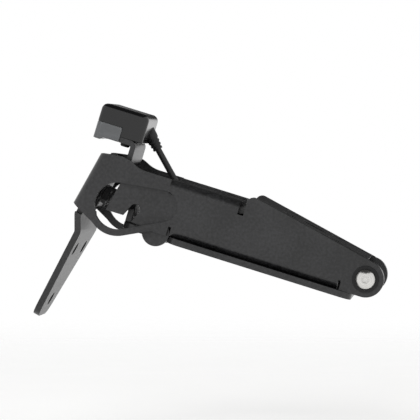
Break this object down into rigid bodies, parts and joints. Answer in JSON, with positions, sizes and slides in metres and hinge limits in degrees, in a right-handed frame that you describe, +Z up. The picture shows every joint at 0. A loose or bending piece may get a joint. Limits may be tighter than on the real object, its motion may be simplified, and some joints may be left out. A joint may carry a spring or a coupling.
{
  "type": "motorbike tail tidy",
  "caption": "Folded sheet-steel bracket that bolts under a motorbike's tail, with a tapered number-plate hanger, indicator slots and a small plate lamp on its lead.",
  "frame": {"origin": "centre of the bolt pattern, on top of the mounting plate", "axes": "+X to the front of the bike, +Y to its left, +Z up"},
  "size_m": [0.1674, 0.0596, 0.1011],
  "materials": {
    "powder_coat": "satin black powder coat",
    "lamp_case": "gloss black ABS",
    "lamp_lens": "smoked polycarbonate",
    "circuit_board": "solder mask",
    "led": "phosphor under clear resin",
    "soft_black": "matt PVC",
    "nylon": "moulded nylon",
    "bright_steel": "polished stainless",
    "black_steel": "black oxide",
    "spacer": "turned"
  },
  "bodies": {
    "root": {"left_arm": "powder_coat", "right_arm": "powder_coat", "indicator_bracket_left": "powder_coat", "indicator_bracket_right": "powder_coat", "undertray": "powder_coat", "plate_hanger": "powder_coat", "lamp_bracket": "powder_coat", "mounting_plate": "powder_coat", "lamp_housing": "lamp_case", "lamp_lens": "lamp_lens", "lamp_board": "circuit_board", "lamp_leds": "led", "lamp_boot": "soft_black", "lamp_lead": "soft_black", "lead_connector": "nylon", "connector_clip": "nylon", "front_screws": "bright_steel", "front_washers": "black_steel", "lamp_screws": "black_steel", "undertray_screws": "black_steel", "undertray_nuts": "black_steel", "hanger_screws": "black_steel", "hanger_nuts": "black_steel", "lamp_bracket_screws": "black_steel", "lamp_bracket_nuts": "black_steel", "top_screws": "black_steel", "top_nuts": "black_steel", "front_spacer": "spacer"}
  },
  "joints": []
}
